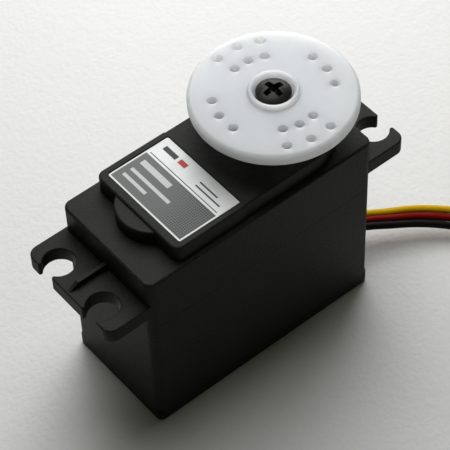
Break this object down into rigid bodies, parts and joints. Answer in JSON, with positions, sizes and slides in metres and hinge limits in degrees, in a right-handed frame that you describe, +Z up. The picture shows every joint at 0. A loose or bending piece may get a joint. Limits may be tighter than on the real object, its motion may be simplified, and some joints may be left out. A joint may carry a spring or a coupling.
{
  "type": "hobby servo motor",
  "caption": "Box-shaped hobby servo with slotted mounting tabs, a round white horn on a geared output shaft that turns without limit, and a wire lead with a plug.",
  "frame": {"origin": "middle of the case's flat base", "axes": "+X along the case towards the output shaft and the lead, +Y across the case, +Z up along the output shaft"},
  "size_m": [0.1232, 0.0299, 0.0417],
  "materials": {
    "case_plastic": "moulded, fine grain",
    "horn_plastic": "white moulded nylon, satin",
    "label_print": "printed foil",
    "black_screw": "black oxide",
    "steel": "bright",
    "core_steel": "stacked sheet",
    "magnet": "ferrite",
    "gear_plastic": "self-lubricating moulded gear",
    "bronze": "sintered",
    "copper": "copper",
    "cap_plastic": "moulded",
    "tin": "tinned",
    "board": "glass fibre with solder mask",
    "chip": "moulded",
    "capacitor_sleeve": "sleeve",
    "resistor": "lacquer",
    "grommet_rubber": "soft",
    "wire_yellow": "extruded",
    "wire_red": "extruded",
    "wire_black": "extruded",
    "connector_plastic": "moulded",
    "tie_plastic": "moulded"
  },
  "bodies": {
    "case": {"bottom_cover": "case_plastic", "middle_case": "case_plastic", "top_case": "case_plastic", "case_screws": "black_screw", "label": "label_print", "wire_grommet": "grommet_rubber", "bearing_outer_ring": "steel", "output_bush": "bronze", "gear_pin": "steel", "motor_can": "steel", "motor_end_cap": "cap_plastic", "motor_magnets": "magnet", "motor_brushes": "copper", "motor_terminals": "tin", "motor_screws": "steel", "circuit_board": "board", "control_chip": "chip", "bridge_chips": "chip", "capacitor": "capacitor_sleeve", "setting_resistors": "resistor", "inner_wires": "wire_black", "signal_wire": "wire_yellow", "power_wire": "wire_red", "ground_wire": "wire_black", "signal_wire_coil": "wire_yellow", "power_wire_coil": "wire_red", "ground_wire_coil": "wire_black", "wire_tie": "tie_plastic", "connector_housing": "connector_plastic", "connector_contacts": "tin"},
    "output": {"wheel_horn": "horn_plastic", "horn_screw": "black_screw", "output_gear": "gear_plastic", "bearing_inner_ring": "steel"},
    "third_stage": {"third_gear": "gear_plastic"},
    "second_stage": {"second_gear": "gear_plastic"},
    "first_stage": {"first_gear": "gear_plastic"},
    "rotor": {"motor_shaft": "steel", "motor_pinion": "bronze", "armature_core": "core_steel", "armature_windings": "copper", "commutator": "copper"},
    "ball_set": {"bearing_balls": "steel", "bearing_cage": "bronze"}
  },
  "joints": [
    {"name": "output_spin", "type": "hinge", "parent": "case", "child": "output", "pos_m": [0.01015, 0, 0.03], "axis": [0, 0, 1], "continuous": true},
    {"name": "third_gear_spin", "type": "hinge", "parent": "case", "child": "third_stage", "pos_m": [0.00015, 0, 0.03], "axis": [0, 0, 1], "continuous": true},
    {"name": "second_gear_spin", "type": "hinge", "parent": "case", "child": "second_stage", "pos_m": [0.01015, 0, 0.03], "axis": [0, 0, 1], "continuous": true},
    {"name": "first_gear_spin", "type": "hinge", "parent": "case", "child": "first_stage", "pos_m": [0.00015, 0, 0.03], "axis": [0, 0, 1], "continuous": true},
    {"name": "motor_spin", "type": "hinge", "parent": "case", "child": "rotor", "pos_m": [-0.00985, 0, 0.03], "axis": [0, 0, 1], "continuous": true},
    {"name": "ball_set_spin", "type": "hinge", "parent": "case", "child": "ball_set", "pos_m": [0.01015, 0, 0.03], "axis": [0, 0, 1], "continuous": true}
  ],
  "couplings": [
    {"joint": "third_gear_spin", "follows": "output_spin", "ratio": -4},
    {"joint": "second_gear_spin", "follows": "output_spin", "ratio": 16},
    {"joint": "first_gear_spin", "follows": "output_spin", "ratio": -64},
    {"joint": "motor_spin", "follows": "output_spin", "ratio": 256},
    {"joint": "ball_set_spin", "follows": "output_spin", "ratio": 0.425}
  ]
}
